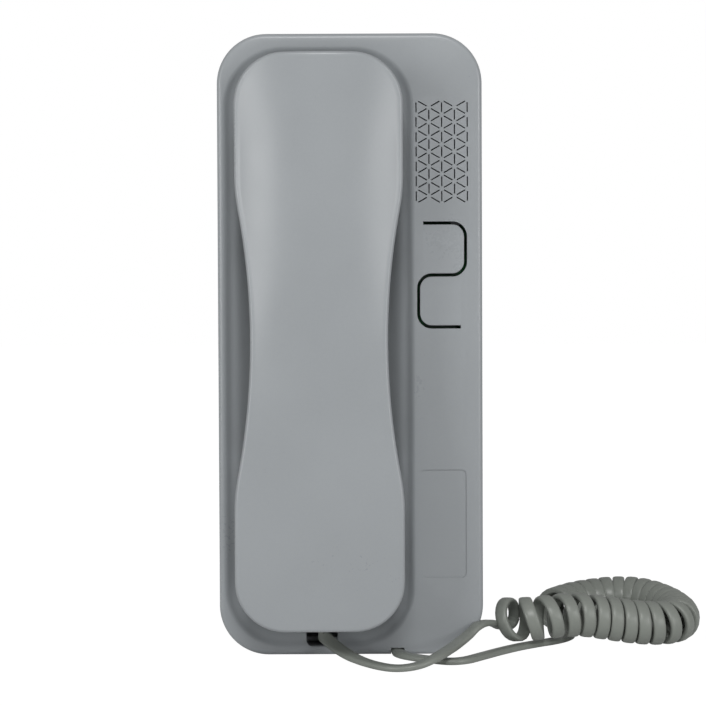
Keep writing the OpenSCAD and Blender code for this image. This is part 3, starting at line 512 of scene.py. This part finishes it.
# Cord.
# A flat grey cord in one length: from the handset's boot it runs along the table, curls up into
# the coil, and comes back flat from the coil's far end to the gland in the base.
cord_w, cord_t, curl_r = 3.9, 1.9, 5.8
lie_y, coil_y = table_y + cord_t / 2, table_y + cord_t / 2 + curl_r
handset_route = [(-9, -84.7, 23), (-9, -86.1, 23), (-9, -87.3, 23), (-7.4, -88.65, 24.8), (-4.6, -90.25, 28.4),
                 (0.2, -91.85, 35.4), (5.4, -92.75, 40.8), (10.9, lie_y, 45), (15.5, -92.75, 46.6),
                 (20, -91.95, 46), (24.7, -90.55, 42.6), (28.2, -89.85, 36.6), (31.2, -89.15, 31),
                 (34.9, -87.35, 26.2), (38.2, -85, 23.4), (41.2, -85, 18.8), (43.8, -86.1, 14),
                 (46.4, -87.8, 10), (48.7, -88.2, 7.1), (50.2, -87.2, 5.8)]
base_route = [(14, lie_y, 16), (14, lie_y, 21.6), (14.7, lie_y, 26), (17.7, lie_y, 29.8), (22.9, lie_y, 33.4),
              (28.6, lie_y, 36.4), (33.6, lie_y, 35), (38.6, lie_y, 29.6), (44.6, lie_y, 22.6), (51, lie_y, 16),
              (57, lie_y, 11), (63, lie_y, 6.6), (67.6, lie_y, 1.4), (69.6, lie_y, -5), (69, lie_y, -12.5)]
coil_route = [(47.2, 1.8, 10.2), (50.6, 2.2, 12.9), (54.6, 2.6, 14.2), (59.6, 3, 14), (65.2, 3.4, 12.8),
              (71.6, 3.2, 11.4), (78, 2.2, 10.3), (85.2, 1, 9.6), (92, 0.2, 8.8), (97.8, 0, 7.2), (102, 0, 3.4),
              (103.9, 0, -2.4), (104.2, 0.2, -9), (102.6, 0.9, -15.8), (99.2, 1.7, -21.8), (94, 2.2, -26.4),
              (87.4, 2, -28.8), (80.4, 1.3, -28.8), (74.2, 0.7, -26.4), (69.6, 0.2, -22.6), (66.5, 0, -18.4)]


def smooth_line(route, n):
    """A smooth line through the points of a route."""
    p = np.array(route, float)
    p = np.vstack([2 * p[0] - p[1], p, 2 * p[-1] - p[-2]])
    out = []
    for i in range(1, len(p) - 2):
        a, b, c, d = p[i - 1:i + 3]
        for t in np.arange(n) / n:
            out.append(0.5 * (2 * b + (c - a) * t + (2 * a - 5 * b + 4 * c - d) * t * t
                              + (3 * b - a - 3 * c + d) * t ** 3))
    return np.array(out + [p[-2]])


def unit(v):
    return v / np.linalg.norm(v, axis=-1, keepdims=True)


def along(line):
    grown = np.vstack([2 * line[0] - line[1], line, 2 * line[-1] - line[-2]])
    return unit(grown[2:] - grown[:-2])


def strand(line, normal, sides=16):
    """Rings of the flat cord: an oval flattened on both faces."""
    t = along(line)
    n = unit(normal - (normal * t).sum(1, keepdims=True) * t)
    side = np.cross(t, n)
    a = np.arange(sides) * 2 * math.pi / sides + math.pi / sides
    thick = np.sign(np.sin(a)) * np.abs(np.sin(a)) ** 0.6 * cord_t / 2
    wide = np.sign(np.cos(a)) * np.abs(np.cos(a)) ** 0.6 * cord_w / 2
    return [line[i] + np.outer(thick, n[i]) + np.outer(wide, side[i]) for i in range(len(line))]


turns, per_turn = 27.75, 24
coil_line = smooth_line([(x, coil_y + y, z) for x, y, z in coil_route], 6)
coil_along = along(coil_line)
run = np.concatenate([[0], np.cumsum(np.linalg.norm(np.diff(coil_line, axis=0), axis=1))])
count = int(turns * per_turn)
m = (np.arange(count) + 0.5) / per_turn
gaps = 1 + 0.6 * np.maximum(0, 1 - m / 8) ** 1.2
spots = np.concatenate([[0], np.cumsum(gaps)])
spots *= run[-1] / spots[-1]
middle = np.column_stack([np.interp(spots, run, coil_line[:, k]) for k in range(3)])
axis = unit(np.column_stack([np.interp(spots, run, coil_along[:, k]) for k in range(3)]))
across = unit(np.cross(axis, [0, 1, 0]))
phase = np.radians(-90 + 360 * np.arange(count + 1) / per_turn)[:, None]
out_way = np.cos(phase) * np.cross(across, axis) + np.sin(phase) * across
curls = middle + curl_r * out_way


def laid(route, end_point, first, last, flat, first_turn=0.3, last_turn=0.25, n=6):
    """A lead with its flat side turned from first to flat (up or down) to last along the way."""
    line = smooth_line(list(route) + [tuple(end_point)], n)
    f = np.linspace(0, 1, len(line))[:, None]
    up = np.array([0.0, flat, 0.0])
    start = np.clip(1 - f / first_turn, 0, 1)
    end = np.clip((f - 1 + last_turn) / last_turn, 0, 1)
    return line, np.array(first) * start + up * (1 - start - end) + np.array(last) * end


base_line, base_side = laid(base_route, curls[-1], (0, 1, 0), -out_way[-1], 1)
line = np.vstack([base_line, curls[-2::-1]])
normal = np.vstack([base_side, -out_way[-2::-1]])


def tube(name, line, normal):
    points, faces = skin(strand(line, normal))
    made = solid(name, points, faces, looks["cord_rubber"], sharp=60)
    length = float(np.linalg.norm(np.diff(line, axis=0), axis=1).sum()) / 1000
    return made, length, [w(p) for p in line]


coil, coil_length, coil_path = tube("coil_and_base_lead", line, normal)
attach(coil, "base")
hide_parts("curly_cord", "base_lead")
hand_line, hand_side = laid(handset_route, curls[0], (1, 0, 0), out_way[0], -1, last_turn=0.3)
lead, lead_length, lead_path = tube("lead_to_handset", hand_line, hand_side)
w((40, -90, 20))
w((-9, -90, 20))
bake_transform(lead)
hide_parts("handset_lead")
print("cord lengths", coil_length, lead_length)
